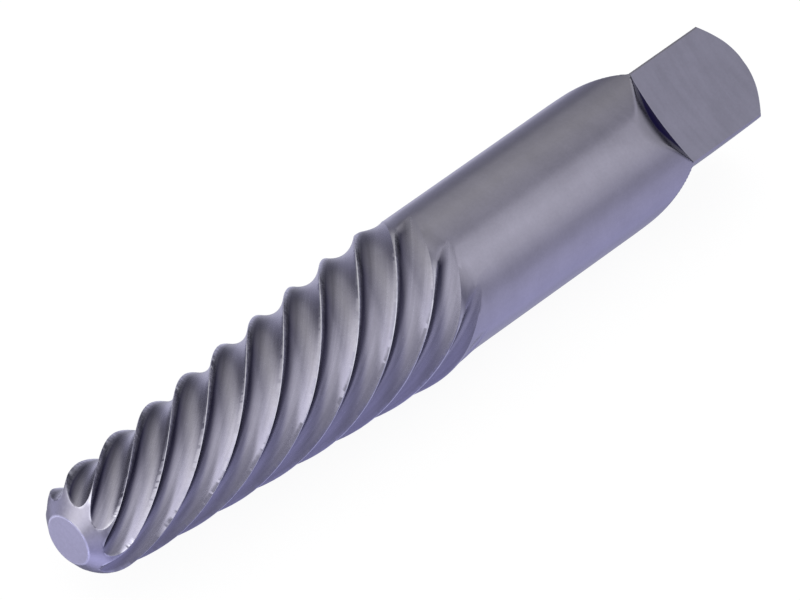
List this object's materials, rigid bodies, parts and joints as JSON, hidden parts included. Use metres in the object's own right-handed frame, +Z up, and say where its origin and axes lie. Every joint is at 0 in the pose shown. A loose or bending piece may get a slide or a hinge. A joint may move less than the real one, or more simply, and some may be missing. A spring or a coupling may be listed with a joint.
{
  "type": "screw extractor",
  "caption": "Spiral screw extractor: tapered head with left-hand helical flutes, plain round shank and milled square drive end.",
  "frame": {"origin": "the middle of the tool's length, on the surface it lies on, straight below its axis", "axes": "+X along the tool's axis, from the small fluted end towards the square drive end; +Z up"},
  "size_m": [0.0952, 0.0168, 0.0168],
  "materials": {
    "tool_steel": "satin ground and milled tool steel"
  },
  "bodies": {
    "root": {"extractor_body": "tool_steel"}
  },
  "joints": []
}
